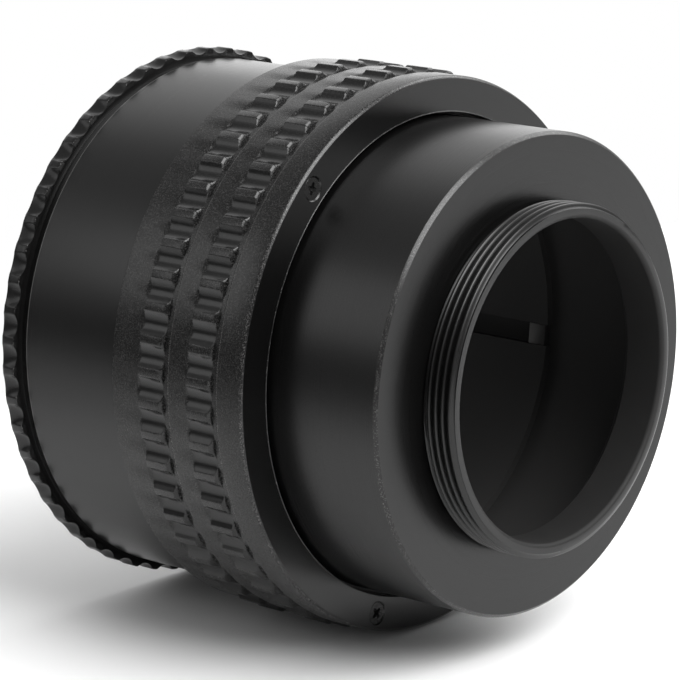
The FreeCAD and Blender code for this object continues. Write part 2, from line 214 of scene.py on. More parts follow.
# %% Finish: what builds a material
class Finish:
    """A material or world under construction."""

    def __init__(self, owner):
        owner.use_nodes = True
        self.owner = owner
        self.tree = owner.node_tree
        self.tree.nodes.clear()

    def node(self, kind, settings=None, values=None, output=0):
        """Places a node, sets it up, fills or links its sockets and returns one output."""
        made = self.tree.nodes.new(kind)
        for key, value in (settings or {}).items():
            setattr(made, key, value)
        for key, value in (values or {}).items():
            socket = made.inputs[key]
            if isinstance(value, Reading):
                self.tree.links.new(value.socket, socket)
            else:
                socket.default_value = value
        return Reading(self, made.outputs[output]) if made.outputs else None

    def ramp(self, value, low, high, start=0.0, end=1.0):
        """Runs smoothly from start to end while the value runs from low to high."""
        settings = {"interpolation_type": "SMOOTHSTEP"}
        return self.node("ShaderNodeMapRange", settings, {0: value, 1: low, 2: high, 3: start, 4: end})

    def place(self):
        """Where a point lies on the piece, in millimetres: as one vector, and as x, y and z."""
        metres = self.node("ShaderNodeTexCoord", output="Object")
        scale = {0: metres, "Scale": 1 / METRE_PER_MM}
        mm = self.node("ShaderNodeVectorMath", {"operation": "SCALE"}, scale)
        return mm, [self.node("ShaderNodeSeparateXYZ", values={0: mm}, output=i) for i in range(3)]

    def noise(self, vector, scale, detail=2.0, roughness=0.5):
        values = {"Vector": vector, "Scale": scale, "Detail": detail, "Roughness": roughness}
        return self.node("ShaderNodeTexNoise", {"noise_dimensions": "3D"}, values, "Fac")

    def blend(self, amount, dark, light):
        settings = {"data_type": "RGBA", "clamp_factor": True}
        return self.node("ShaderNodeMix", settings, {0: amount, 6: dark, 7: light}, 2)

    def along(self, y, r, edges):
        """1 on the given (y, radius, width) edges of a turned piece, 0 a width away from them."""
        total = 0.0
        for edge_y, edge_r, width in edges:
            off = ((y - edge_y) ** 2 + (r - edge_r) ** 2) ** 0.5
            total = total + self.ramp(off, width * 0.4, width, 1.0, 0.0)
        return total

    def mix(self, amount, first, second):
        return self.node("ShaderNodeMixShader", values={0: amount, 1: first, 2: second})

    def bump(self, height, strength, distance_mm):
        values = {"Height": height, "Strength": strength, "Distance": distance_mm * METRE_PER_MM}
        return self.node("ShaderNodeBump", values=values)

    def surface(self, shader):
        self.node("ShaderNodeOutputMaterial", values={"Surface": shader})
        print(self.owner.name, "nodes", len(self.tree.nodes))
        return self.owner


def grey(level):
    """A very slightly warm grey, as black anodised aluminium has in daylight."""
    return (level * 1.02, level, level * 0.99, 1.0)


# %% [markdown]
# Black anodising is a thin clear oxide layer full of black dye over aluminium. It has little colour
# of its own, so what one sees is the soft reflection on its surface. Turned parts carry very fine
# lathe marks that run round the axis. The marks here are noise read on radius and length only, so
# each mark is a full ring. Where a turned edge is touched most, the oxide wears to tiny bright dots.
# A thin pale line painted along some chamfers is a painted highlight line. Walls that face the light
# path are duller, and their black is painted lighter behind the face as painted fill light.

# %% Finish of the turned pieces
BORE_LEVEL = 0.014
# The lightest black of the inner walls, painted lighter as painted fill light where little light
# reaches.
PAINTED_FILL_LEVEL = 0.036
WORN_LEVEL = 0.12
# A pale grey painted along some edges as a painted highlight line.
PAINTED_HIGHLIGHT_LEVEL = 0.11


def painted_highlight_lines(f, y, r, edges, place, shade):
    """The shade with a thin, uneven pale line painted along the given edges: a painted highlight line.
    """
    uneven = f.noise(place, 4.0, 1.0) * 0.6 + 0.5
    return f.blend(f.along(y, r, edges) * uneven, shade, grey(PAINTED_HIGHLIGHT_LEVEL))


def matte_wall(f, place, normal, painted_fill=0.0):
    """The dull black of walls that face the light path, painted lighter as painted fill light; a fill
    of 1 makes it lightest.
    """
    patches = f.noise(place, 0.5, 3.0, 0.6)
    # Random patches, plus painted fill light that lightens the black.
    colour = f.blend(patches * 0.25 + painted_fill, grey(BORE_LEVEL), grey(PAINTED_FILL_LEVEL))
    return f.node("ShaderNodeBsdfPrincipled", values={
        "Base Color": colour, "Roughness": 0.62 + (patches - 0.5) * 0.1, "Specular IOR Level": 0.3,
        "Normal": normal})


def matte_anodised(name):
    f = Finish(bpy.data.materials.new(name))
    place, _ = f.place()
    pores = f.noise(place, 9.0, 2.0, 0.6)
    # The 0.8 paints the black nearly as light as it goes, as painted fill light.
    return f.surface(matte_wall(f, place, f.bump(pores, 1.0, 0.006), 0.8))


def satin_anodised(name, level, roughness, worn, painted_highlight_edges=(), walls=None):
    """Satin black; worn lists (y, radius, width) edges, and so does the list after it, whose edges get
    a painted highlight line; walls tells where it stays matte, with painted fill light.
    """
    f = Finish(bpy.data.materials.new(name))
    place, (x, y, z) = f.place()
    r = (x * x + z * z) ** 0.5
    rings = f.node("ShaderNodeCombineXYZ", values={0: r, 1: y, 2: 0.0})
    lathe = f.noise(rings, 9.0, 3.0, 0.6)
    pores = f.noise(place, 14.0, 2.0, 0.6)
    dye = f.noise(place, 0.22, 2.0)
    dots = f.ramp(f.noise(place, 7.0, 3.0, 0.7), 0.52, 0.66)
    dyed = f.blend(dye, grey(level * 0.85), grey(level * 1.2))
    colour = f.blend(f.along(y, r, worn) * dots, dyed, grey(WORN_LEVEL))
    # Pale lines painted along the given edges: painted highlight lines.
    if painted_highlight_edges:
        colour = painted_highlight_lines(f, y, r, painted_highlight_edges, place, colour)
    dull = roughness + (lathe - 0.5) * 0.10 + (pores - 0.5) * 0.08
    normal = f.bump(lathe * 0.12 + pores * 0.10, 1.0, 0.01)
    outer = f.node("ShaderNodeBsdfPrincipled", values={
        "Base Color": colour, "Roughness": dull, "Normal": normal})
    if walls is None:
        return f.surface(outer)
    # Painted fill light: the walls behind the face are painted lighter than the bore.
    painted_fill_behind_face = f.ramp(y, 0.5, 2.0)
    return f.surface(f.mix(walls(f, y, r), outer, matte_wall(f, place, normal, painted_fill_behind_face)))


# %% [markdown]
# A screw thread is one tooth swept round the axis while it moves along by its pitch each turn. The
# wire below has a few more teeth than are needed. Its corners sit on whole fractions of the pitch
# that the sweep also steps through, so the two planes that cut the thread to length pass exactly
# through corners, and the plain rings on either side weld to it without a gap.

# %% Thread tool
PITCH = 1.0
TOOTH_PARTS = 32  # the tooth is drawn on this many parts of the pitch
TOOTH = [  # part of the pitch, share of the height
    (0, 0), (3, 0), (5, 0.12), (8, 0.46), (11, 0.8), (13, 0.94), (15, 1),
    (17, 1), (19, 0.94), (21, 0.8), (24, 0.46), (27, 0.12), (29, 0)]


def thread(bm, y0, turns, core_r, height, fade, start=0):
    """A thread between two planes, its teeth scaled by fade(y); height is negative inside a hole."""
    corners = []
    for tooth in range(-1, math.ceil(turns) + 1):
        for part, rise in TOOTH:
            y = y0 + (tooth + (part + start) / TOOTH_PARTS) * PITCH
            corners.append((y, core_r + rise * height))
    verts, edges = line(bm, corners)
    bmesh.ops.spin(bm, geom=verts + edges, cent=CENTRE, axis=AXIS, dvec=AXIS * (PITCH / STEPS),
                   angle=FULL_TURN, steps=STEPS)
    bmesh.ops.remove_doubles(bm, verts=bm.verts, dist=WELD)
    for y, side in ((y0, -1), (y0 + turns * PITCH, 1)):
        everything = bm.verts[:] + bm.edges[:] + bm.faces[:]
        bmesh.ops.bisect_plane(bm, geom=everything, dist=WELD, plane_co=(0, y, 0),
                               plane_no=AXIS * side, clear_outer=True)
    for v in bm.verts:
        set_radius(v, core_r + (radius(v.co) - core_r) * fade(v.co.y), v.co.y)


# %% [markdown]
# The camera barrel is one turned piece: the collar with the male thread, the flat camera face and
# the long smooth barrel. A clear chamfer goes round the outer edge. The thread starts with a short
# lead-in at the lip, and its last turns get shallower where the tool is drawn back before the face.

# %% Camera barrel
THREAD_CORE = 20.4
THREAD_CREST = 21.0
LIP_Y = -4.5
LIP_ROUND = 0.55
BORE_R = 19.2
FACE_T = 1.7
BARREL_R = 28.9
BARREL_WALL_R = 27.4
BARREL_END = 21.45


def male_fade(y):
    """The share of a tooth's height at y: all of it but for a lead-in at the lip and a run-out."""
    lead_in = (y - LIP_Y) * 4
    run_out = min(0.72 - y * 0.2, -y * 3)
    return min(1, lead_in, run_out) if y < -WELD else 0


def barrel_walls(f, y, r):
    """1 on the bore and inner wall of the camera barrel, 0 outside it."""
    bore = f.ramp(r, BORE_R + 0.3, BORE_R + 0.6, 1.0, 0.0)
    wall = f.ramp(r, BARREL_WALL_R + 0.2, BARREL_WALL_R + 0.8, 1.0, 0.0)
    return bore + f.ramp(y, 0.15, 0.4) * wall


camera_satin = satin_anodised("satin_black_camera_barrel", 0.003, 0.29, worn=[
    (0.2, BARREL_R - 0.2, 0.4), (BARREL_END - 0.1, BARREL_R - 0.1, 0.3)], walls=barrel_walls)
bm = bmesh.new()
thread(bm, LIP_Y, -LIP_Y / PITCH, THREAD_CORE, THREAD_CREST - THREAD_CORE, male_fade,
       start=-TOOTH_PARTS // 2)
verts, edges = line(bm, [
    (0, THREAD_CORE), (0, BARREL_R - 0.42), (0.06, BARREL_R - 0.34), (0.34, BARREL_R - 0.06),
    (0.42, BARREL_R), (BARREL_END - 0.2, BARREL_R), (BARREL_END, BARREL_R - 0.2),
    (BARREL_END, BARREL_WALL_R + 0.1), (BARREL_END - 0.1, BARREL_WALL_R), (FACE_T, BARREL_WALL_R),
    (FACE_T, BORE_R + 1.1), (FACE_T - 1.1, BORE_R), (LIP_Y, BORE_R), (LIP_Y, THREAD_CORE)])
edges = round_corner(bm, verts[-2], LIP_ROUND, edges)
turn(bm, verts_of(edges), edges)
finished(bm, "camera_barrel_turned", "camera_side", "camera_barrel",
         camera_satin)

# %% [markdown]
# Flutes are cut one after another with a round cutter that runs along the axis, while the ring is
# turned by one division between cuts. Only one division is modelled: an arc for the cutter with a
# bit of crest on each side. That outline is extruded from station to station. At each station a
# floor and a ceiling limit the radius and a share tells how far the hollow is filled up, so the same
# outline makes plain lands, grooves, flutes and their run-outs. The finished division is then
# repeated round the axis and welded.

# %% Flute tools
FLUTES = 56
DIVISION = 360 / FLUTES
CUTTER_R = 1.82


def flute_outline(bm, crest_r, root_r, soft, soft_parts):
    """One division with its hollow at the bottom of the ring; returns the layer of corner radii."""
    outline_r = bm.verts.layers.float.new("outline_radius")
    centre_r = root_r + CUTTER_R
    cosine = (centre_r**2 + CUTTER_R**2 - crest_r**2) / (2 * centre_r * CUTTER_R)
    half_arc = math.acos(cosine)
    first = bm.verts.new((centre_r - CUTTER_R * cosine, 0, -CUTTER_R * math.sin(half_arc)))
    bmesh.ops.spin(bm, geom=[first], cent=(centre_r, 0, 0), axis=AXIS, angle=2 * half_arc, steps=8)
    arc = sorted(bm.verts, key=lambda v: v.co.z)
    edge_turn = math.degrees(math.atan2(arc[-1].co.z, arc[-1].co.x))
    crest_middle_r = crest_r * math.cos(math.radians(DIVISION / 2 - edge_turn))
    low = bm.verts.new(at(crest_middle_r, -DIVISION / 2, 0))
    high = bm.verts.new(at(crest_middle_r, DIVISION / 2, 0))
    bm.edges.new((low, arc[0]))
    bm.edges.new((arc[-1], high))
    bmesh.ops.bevel(bm, geom=[arc[0], arc[-1]], offset=soft, segments=soft_parts, profile=0.5,
                    affect="VERTICES", clamp_overlap=True, material=-1)
    for v in bm.verts:
        v[outline_r] = radius(v.co)
    bmesh.ops.rotate(bm, cent=CENTRE, matrix=Matrix.Rotation(math.pi / 2, 3, "Y"), verts=bm.verts)
    return outline_r


def settle(v, outline_r, station):
    """Puts one corner of the outline where the (y, floor, ceiling, share) station wants it."""
    y, floor, ceiling, share = station
    r = min(ceiling, v[outline_r])
    set_radius(v, max(floor, r + (ceiling - r) * share), y)


def fluted_ring(crest_r, root_r, soft, soft_parts, stations):
    """Extrudes one division through its stations and repeats it round the axis."""
    bm = bmesh.new()
    outline_r = flute_outline(bm, crest_r, root_r, soft, soft_parts)
    verts, edges = bm.verts[:], bm.edges[:]
    for v in verts:
        settle(v, outline_r, stations[0])
    for station in stations[1:]:
        verts, edges = extrude(bm, edges)
        for v in verts:
            settle(v, outline_r, station)
    bmesh.ops.spin(bm, geom=bm.verts[:] + bm.edges[:] + bm.faces[:], cent=CENTRE, axis=AXIS,
                   angle=FULL_TURN * (FLUTES - 1) / FLUTES, steps=FLUTES - 1, use_duplicate=True)
    bmesh.ops.remove_doubles(bm, verts=bm.verts, dist=WELD * 5)
    return bm


def plain(y, r):
    """A station where the division is plainly round."""
    return (y, r, r, 0.0)


def chamfered_end(end_y, r):
    """Stations that chamfer a plain land towards a groove at end_y."""
    return [plain(end_y - 0.3, r), plain(end_y - 0.02, r - 0.2), plain(end_y, r - 0.23)]


print("a division is", round(DIVISION, 2), "degrees wide")

# %% [markdown]
# A flat face with screw holes is filled between its outer edge, its inner edge and the holes' edges.
# Each hole is then a ring that is extruded down its countersink and on into its bore. Cutting the
# holes with a boolean would work too, but it leaves untidy edges round every hole.

# %% Countersunk holes in a flat face
HOLE_EDGE = 0.06
HOLE_DEPTH = 0.5  # how far the bore goes on behind the countersink


def face_with_holes(bm, y, outer_r, inner_r, circle_r, degrees, hole, into):
    """Fills a flat ring and sinks its screw holes.

    A hole is its head's radius and depth and its bore's radius; into is its sense along the axis.
    """
    head_r, head_t, bore_r = hole
    rims = ring_at(bm, y, outer_r) + ring_at(bm, y, inner_r)
    centres = [at(circle_r, a, y) for a in degrees]
    holes = [small_ring(bm, centre, head_r) for centre in centres]
    bmesh.ops.triangle_fill(bm, use_beauty=True, edges=rims + [e for rim in holes for e in rim],
                            normal=AXIS * -into)
    for centre, rim in zip(centres, holes):
        steps = ((HOLE_EDGE, head_r - 0.05), (head_t, bore_r), (head_t + HOLE_DEPTH, bore_r))
        for depth, r in steps:
            verts, rim = extrude(bm, rim)
            for v in verts:
                aside = Vector((v.co.x - centre.x, 0, v.co.z - centre.z)).normalized() * r
                v.co = centre + aside + AXIS * (into * depth)
        bmesh.ops.contextual_create(bm, geom=rim)


# %% [markdown]
# The grip is blasted with fine beads before it is anodised. The beads leave shallow dents about a
# fifth of a millimetre across, which break every highlight into a fine speckle, and pale specks
# painted into the colour add painted glints. The ring's edges are rubbed by fingers, so they wear
# first, and a thin pale line painted along the ends of its lands is a painted highlight line. The
# bead spray doesn't reach well into the flutes, which stay smoother and get fewer painted glints.
# The flat face is turned after blasting and has few dents.

# %% Finish of the grip
GRIP_FACE_Y = 15.9
GRIP_END = 36.4
GRIP_HOLE_R = 29.4
LAND_R = 33.75
CREST_R = 34.2
ROW_STARTS = (20.1, 27.7)  # where each row's relief groove starts
FACE_ROUGHNESS = 0.26


def blasted_anodised(name, level, roughness, worn, painted_highlight_edges):
    """Blasted black, but for the flat face; worn lists (y, radius, width) edges, and so does the list
    after it, whose edges get a painted highlight line.
    """
    f = Finish(bpy.data.materials.new(name))
    place, (x, y, z) = f.place()
    r = (x * x + z * z) ** 0.5
    outside = f.ramp(y, GRIP_FACE_Y + 0.02, GRIP_FACE_Y + 0.1)
    dents = f.noise(place, 5.0, 1.0, 0.6)
    fine = f.noise(place, 11.0, 1.0)
    in_rows = sum(f.ramp(y, start + 0.5, start + 0.65) * f.ramp(y, start + 4.0, start + 4.2, 1.0, 0.0)
                  for start in ROW_STARTS)
    hollow = f.ramp(r, CREST_R - 0.18, CREST_R - 0.04, 1.0, 0.0) * in_rows
    dye = f.noise(place, 0.2, 2.0)
    dots = f.ramp(f.noise(place, 6.5, 2.0, 0.7), 0.54, 0.66)
    shade = f.blend(dye * 0.4 + outside * 0.6, grey(0.002), grey(level))
    # Painted glints: pale specks painted into the colour as sparkling highlights, fewer in the flutes.
    painted_glints = f.ramp(f.noise(place, 6.5, 1.0), 0.49, 0.7) * outside * (1 - hollow * 0.7)
    shade = f.blend(painted_glints, shade, grey(0.042))
    # Pale lines painted at the ends of the lands: painted highlight lines.
    shade = painted_highlight_lines(f, y, r, painted_highlight_edges, place, shade)
    colour = f.blend(f.along(y, r, worn) * dots, shade, grey(WORN_LEVEL))
    dull = FACE_ROUGHNESS + outside * (roughness - FACE_ROUGHNESS)
    dull = dull + (dents - 0.5) * 0.25 * outside - hollow * 0.05
    relief = (dents + fine * 0.4) * (outside * (0.95 - hollow * 0.6) + 0.05)
    return f.surface(f.node("ShaderNodeBsdfPrincipled", values={
        "Base Color": colour, "Roughness": dull, "Normal": f.bump(relief, 1.0, 0.013)}))


blasted = blasted_anodised(
    "blasted_black_anodised", 0.004, 0.25,
    worn=[(GRIP_FACE_Y + 0.18, LAND_R - 0.15, 0.3), (GRIP_FACE_Y - 0.02, GRIP_HOLE_R + 0.1, 0.12),
          (GRIP_END - 0.1, LAND_R - 0.15, 0.3)],
    # Edges that get a painted highlight line, at the ends of the lands.
    painted_highlight_edges=[(start - 0.36, LAND_R - 0.06, 0.24) for start in ROW_STARTS])

# %% [markdown]
# The focus ring is what the hand turns. From the camera end it has a flat face with three sunk
# screws, a chamfer, a plain land, a chamfered relief groove, a row of flutes that run out into the
# next land, and the same again. Inside it is bored to clear the neck of the lens barrel.

# %% Focus grip ring
GROOVE_R = 33.5
ROOT_R = 33.45
RELIEF = 0.4
ROW_LENGTH = 3.6
GRIP_BORE_R = 32.6
GRIP_FACE_BACK = 17.4
GRIP_SCREW_CIRCLE = 31.6
GRIP_SCREW_ANGLES = (12.2, 132.2, 252.2)
GRIP_SCREW_HOLE = (1.5, 0.8, 0.75)


def row(start):
    """Stations of one relief groove, one row of flutes and their run-outs."""
    y0 = start + RELIEF
    y1 = y0 + ROW_LENGTH
    fluted = [(y, ROOT_R, ceiling, share) for y, ceiling, share in (
        (y0 + 0.05, GROOVE_R + 0.08, 0.0), (y0 + 0.18, CREST_R - 0.3, 0.0),
        (y0 + 0.28, CREST_R - 0.1, 0.0), (y0 + 0.42, CREST_R, 0.0), (y1 - 0.2, CREST_R, 0.0),
        (y1 - 0.08, CREST_R - 0.03, 0.02), (y1, CREST_R - 0.12, 0.04), (y1 + 0.12, LAND_R + 0.12, 0.1),
        (y1 + 0.2, LAND_R, 0.26), (y1 + 0.32, LAND_R, 0.56), (y1 + 0.44, LAND_R, 0.86))]
    return [*chamfered_end(start - 0.18, LAND_R), plain(start - 0.15, GROOVE_R),
            plain(y0 + 0.03, GROOVE_R), *fluted, plain(y1 + 0.52, LAND_R)]


front = [plain(GRIP_FACE_Y, LAND_R - 0.35), plain(GRIP_FACE_Y + 0.06, LAND_R - 0.25),
         plain(GRIP_FACE_Y + 0.3, LAND_R - 0.03), plain(GRIP_FACE_Y + 0.38, LAND_R)]
rear = [plain(GRIP_END - 0.3, LAND_R), plain(GRIP_END - 0.04, LAND_R - 0.23),
        plain(GRIP_END, LAND_R - 0.3), plain(GRIP_END, GRIP_BORE_R + 0.15),
        plain(GRIP_END - 0.15, GRIP_BORE_R)]
inside = [plain(GRIP_FACE_BACK, GRIP_BORE_R), plain(GRIP_FACE_BACK, GRIP_HOLE_R),
          plain(GRIP_FACE_Y - 0.02, GRIP_HOLE_R), plain(GRIP_FACE_Y - 0.05, GRIP_HOLE_R + 0.05),
          plain(GRIP_FACE_Y, GRIP_HOLE_R + 0.13)]
rows = [station for start in ROW_STARTS for station in row(start)]
bm = fluted_ring(CREST_R, ROOT_R, 0.09, 2, front + rows + rear + inside)
face_with_holes(bm, GRIP_FACE_Y, LAND_R - 0.35, GRIP_HOLE_R + 0.13, GRIP_SCREW_CIRCLE,
                GRIP_SCREW_ANGLES, GRIP_SCREW_HOLE, 1)
finished(bm, "focus_grip_fluted", "focus_ring", "focus_grip_ring", blasted)

# %% [markdown]
# The lens barrel has a smooth neck that slides into the grip and a narrow fluted rim to hold while a
# lens is screwed in. A groove a quarter of a millimetre deep parts the neck from the rim, and the
# rim's flutes get shallower towards the lens. Its inner lip carries the mount.

# %% Lens barrel
NECK_R = 32.2
NECK_WALL_R = 30.9
NECK_START = 34.22
NECK_END = 52.35
RIM_GROOVE_R = 31.95
RIM_R = 33.4
RIM_ROOT_R = 32.7
RIM_FLOOR_R = 32.5
RIM_FRONT = 53.15
LENS_FACE_Y = 55.0
SEAT_Y = 54.0
SEAT_R = 31.6
SEAT_LIP_R = 27.9
SEAT_LIP_FRONT = 53.2


def lens_walls(f, y, r):
    """1 on the inner wall of the lens barrel, 0 outside it."""
    return f.ramp(r, NECK_WALL_R + 0.05, NECK_WALL_R + 0.2, 1.0, 0.0)


lens_satin = satin_anodised(
    "satin_black_lens_barrel", 0.004, 0.25,
    worn=[(RIM_FRONT + 0.05, RIM_R - 0.1, 0.12), (NECK_START + 0.08, NECK_R - 0.1, 0.3),
          (LENS_FACE_Y - 0.05, SEAT_R + 0.05, 0.2)],
    # An edge that gets a painted highlight line, at the neck's end.
    painted_highlight_edges=[(NECK_END - 0.23, NECK_R - 0.04, 0.24)], walls=lens_walls)
face = [plain(SEAT_Y, SEAT_R), plain(LENS_FACE_Y - 0.1, SEAT_R), plain(LENS_FACE_Y, SEAT_R + 0.1),
        plain(LENS_FACE_Y, RIM_FLOOR_R)]
rim = [(y, RIM_FLOOR_R, RIM_R - lower, share) for y, lower, share in (
    (LENS_FACE_Y, 0.04, 0.76), (54.93, 0, 0.74), (54.5, 0, 0.52), (54.1, 0, 0.3), (53.7, 0, 0.1),
    (RIM_FRONT + 0.2, 0, 0), (RIM_FRONT + 0.09, 0.06, 0), (RIM_FRONT + 0.03, 0.2, 0))]
groove = [plain(RIM_FRONT, RIM_FLOOR_R), plain(RIM_FRONT, RIM_GROOVE_R + 0.1),
          plain(RIM_FRONT - 0.05, RIM_GROOVE_R), plain(NECK_END + 0.05, RIM_GROOVE_R)]
neck = [*chamfered_end(NECK_END, NECK_R)[::-1], plain(NECK_START + 0.23, NECK_R),
        plain(NECK_START, NECK_R - 0.23), plain(NECK_START, NECK_WALL_R + 0.2),
        plain(NECK_START + 0.2, NECK_WALL_R)]
seat = [plain(SEAT_LIP_FRONT, NECK_WALL_R), plain(SEAT_LIP_FRONT, SEAT_LIP_R),
        plain(SEAT_Y, SEAT_LIP_R), plain(SEAT_Y, SEAT_R)]
bm = fluted_ring(RIM_R, RIM_ROOT_R, 0.18, 4, face + rim + groove + neck + seat)
finished(bm, "lens_barrel_fluted", "lens_side", "lens_barrel", lens_satin)

# %% [markdown]
# The lens mount is a plate with a threaded hub. The female thread uses the same tool as the male
# one, with its teeth pointing inwards. The plate sits 0.02 mm clear of its seat in the lens barrel.

# %% Lens mount ring
MOUNT_CORE = 21.0
MOUNT_CREST = 20.5
MOUTH_R = 21.2
HUB_Y = 50.0
HUB_R = 25.9
PLATE_Y = SEAT_Y + 0.02
PLATE_R = SEAT_R - 0.02
PLATE_CHAMFER = 0.1
MOUNT_SCREW_CIRCLE = 29.75
MOUNT_SCREW_ANGLES = (90, 210, 330)
MOUNT_SCREW_HOLE = (1.3, 0.6, 0.6)


def female_fade(y):
    """The share of a tooth's height at y: all of it but for the ends at the lens face and the hub."""
    return max(0, min(1, (LENS_FACE_Y - y) * 2.2, (y - HUB_Y) * 3.2))


mount_satin = satin_anodised("satin_black_lens_mount", 0.004, 0.27, worn=[
    (LENS_FACE_Y - 0.05, PLATE_R - 0.05, 0.2), (LENS_FACE_Y, MOUTH_R, 0.3)])
bm = bmesh.new()
thread(bm, HUB_Y, (LENS_FACE_Y - HUB_Y) / PITCH, MOUNT_CORE, MOUNT_CREST - MOUNT_CORE, female_fade)
turn(bm, *line(bm, [
    (HUB_Y, MOUNT_CORE), (HUB_Y, HUB_R - 0.15), (HUB_Y + 0.15, HUB_R), (PLATE_Y, HUB_R),
    (PLATE_Y, PLATE_R), (LENS_FACE_Y - PLATE_CHAMFER, PLATE_R),
    (LENS_FACE_Y, PLATE_R - PLATE_CHAMFER)]))
turn(bm, *line(bm, [(LENS_FACE_Y, MOUTH_R), (LENS_FACE_Y, MOUNT_CORE)]))
face_with_holes(bm, LENS_FACE_Y, PLATE_R - PLATE_CHAMFER, MOUTH_R, MOUNT_SCREW_CIRCLE,
                MOUNT_SCREW_ANGLES, MOUNT_SCREW_HOLE, -1)
finished(bm, "lens_mount_threaded", "lens_side", "lens_mount_ring", mount_satin)

# %% [markdown]
# The guide keys and rails are plain steel, ground lengthways, so their scratches are noise that is
# stretched along the axis. The screws are steel that was blackened in a hot bath and came out a
# little blotchy.

# %% Finishes of the small steel parts
def ground_steel(name, level, roughness):
    f = Finish(bpy.data.materials.new(name))
    place, (x, y, z) = f.place()
    drawn = f.node("ShaderNodeCombineXYZ", values={0: x * 8.0, 1: y * 0.6, 2: z * 8.0})
    scratches = f.noise(drawn, 1.0, 3.0, 0.6)
    return f.surface(f.node("ShaderNodeBsdfPrincipled", values={
        "Base Color": f.blend(scratches, grey(level * 0.8), grey(level * 1.15)), "Metallic": 1.0,
        "Roughness": roughness + (scratches - 0.5) * 0.2, "Normal": f.bump(scratches, 0.5, 0.01)}))


def blackened_steel(name, level, roughness):
    f = Finish(bpy.data.materials.new(name))
    place, _ = f.place()
    mottle = f.noise(place, 3.0, 3.0, 0.6)
    return f.surface(f.node("ShaderNodeBsdfPrincipled", values={
        "Base Color": f.blend(mottle, grey(level * 0.7), grey(level * 1.4)), "Metallic": 0.3,
        "Roughness": roughness + (mottle - 0.5) * 0.2, "Normal": f.bump(mottle, 0.4, 0.01)}))


key_steel = ground_steel("grey_key_metal", 0.12, 0.5)
screw_steel = blackened_steel("black_screw_steel", 0.012, 0.28)

# %% [markdown]
# A cross-head screw: the face of the head is filled between its edge and the outline of the cross,
# the cross is sunk and narrowed as its driver is, and the edge is drawn down to the shank. All
# screws are the same function with other sizes, and each cross is turned as chance left it.

# %% Screws
def screw(bm, head_r, head_t, shank_r, length, spin_degrees):
    """A countersunk cross-head screw with its head at the origin, pointing along +Y."""
    rim = small_ring(bm, CENTRE, head_r - 0.05)
    arm = head_r * 0.56
    half = head_r * 0.13
    corner = half * 1.5
    tips = []
    for quarter in range(4):
        turned = Matrix.Rotation(quarter * math.pi / 2 + math.radians(spin_degrees), 3, "Y")
        for x, z in ((arm, -half), (arm, half), (corner, corner)):
            tips.append(bm.verts.new(turned @ Vector((x, 0, z))))
    order = sorted(tips, key=lambda v: math.atan2(v.co.z, v.co.x))
    cross = [bm.edges.new(pair) for pair in zip(order, order[1:] + order[:1])]
    bmesh.ops.triangle_fill(bm, use_beauty=True, edges=rim + cross, normal=-AXIS)
    for depth, keep in ((head_t * 0.35, 0.86), (head_t * 0.75, 0.5)):
        verts, cross = extrude(bm, cross)
        for v in verts:
            v.co = Vector((v.co.x * keep, depth, v.co.z * keep))
    bmesh.ops.contextual_create(bm, geom=cross)
    tip = 0.15
    for y, r in ((0.05, head_r), (head_t, shank_r), (length - tip, shank_r), (length, shank_r - tip)):
        verts, rim = extrude(bm, rim)
        for v in verts:
            set_radius(v, r, y)
    bmesh.ops.contextual_create(bm, geom=rim)


def screw_set(name, body, node, size, places):
    """Several screws as one piece. A place is a matrix and the turn of its cross."""
    bm = bmesh.new()
    for matrix, spin_degrees in places:
        one = bmesh.new()
        screw(one, *size, spin_degrees)
        bmesh.ops.transform(one, matrix=matrix, verts=one.verts)
        mesh = bpy.data.meshes.new("one_screw")
        one.to_mesh(mesh)
        one.free()
        bm.from_mesh(mesh)
        bpy.data.meshes.remove(mesh)
    finished(bm, name, body, node, screw_steel)


def along_axis(circle_r, degrees, y, towards_camera=False):
    """The matrix of a screw that points along the axis."""
    about = Matrix.Rotation(math.pi, 4, "X") if towards_camera else Matrix.Identity(4)
    return Matrix.Translation(at(circle_r, degrees, y)) @ about


def across_axis(head_at_r, degrees, y):
    """The matrix of a screw that points at the axis."""
    place = Matrix.Translation((head_at_r, y, 0)) @ Matrix.Rotation(math.pi / 2, 4, "Z")
    return Matrix.Rotation(-math.radians(degrees), 4, "Y") @ place


# %% [markdown]
# Four sets of screws hold the helicoid together: three in the grip's face, three in the lens mount,
# one in each guide key and two in each rail. A set is one piece, because its screws are alike.

# %% Where the screws go
KEY_Y = 19.9
KEY_ANGLES = {"right": -5.6, "left": 174.4}
KEY_SCREW_R = 28.84
RAIL_ANGLES = (84.4, 264.4)
RAIL_SCREW_YS = (50.9, 53.0)
RAIL_SCREW_R = 27.2
GRIP_SCREW = (1.36, 0.7, 0.72, 2.7)  # head radius, head depth, shank radius, length
MOUNT_SCREW = (1.27, 0.58, 0.58, 1.5)
KEY_SCREW = (0.88, 0.38, 0.48, 2.0)
RAIL_SCREW = (0.88, 0.38, 0.48, 2.5)
HEAD_SUNK = 0.13  # how deep the heads sit in the grip's face
MOUNT_HEAD_SUNK = 0.04

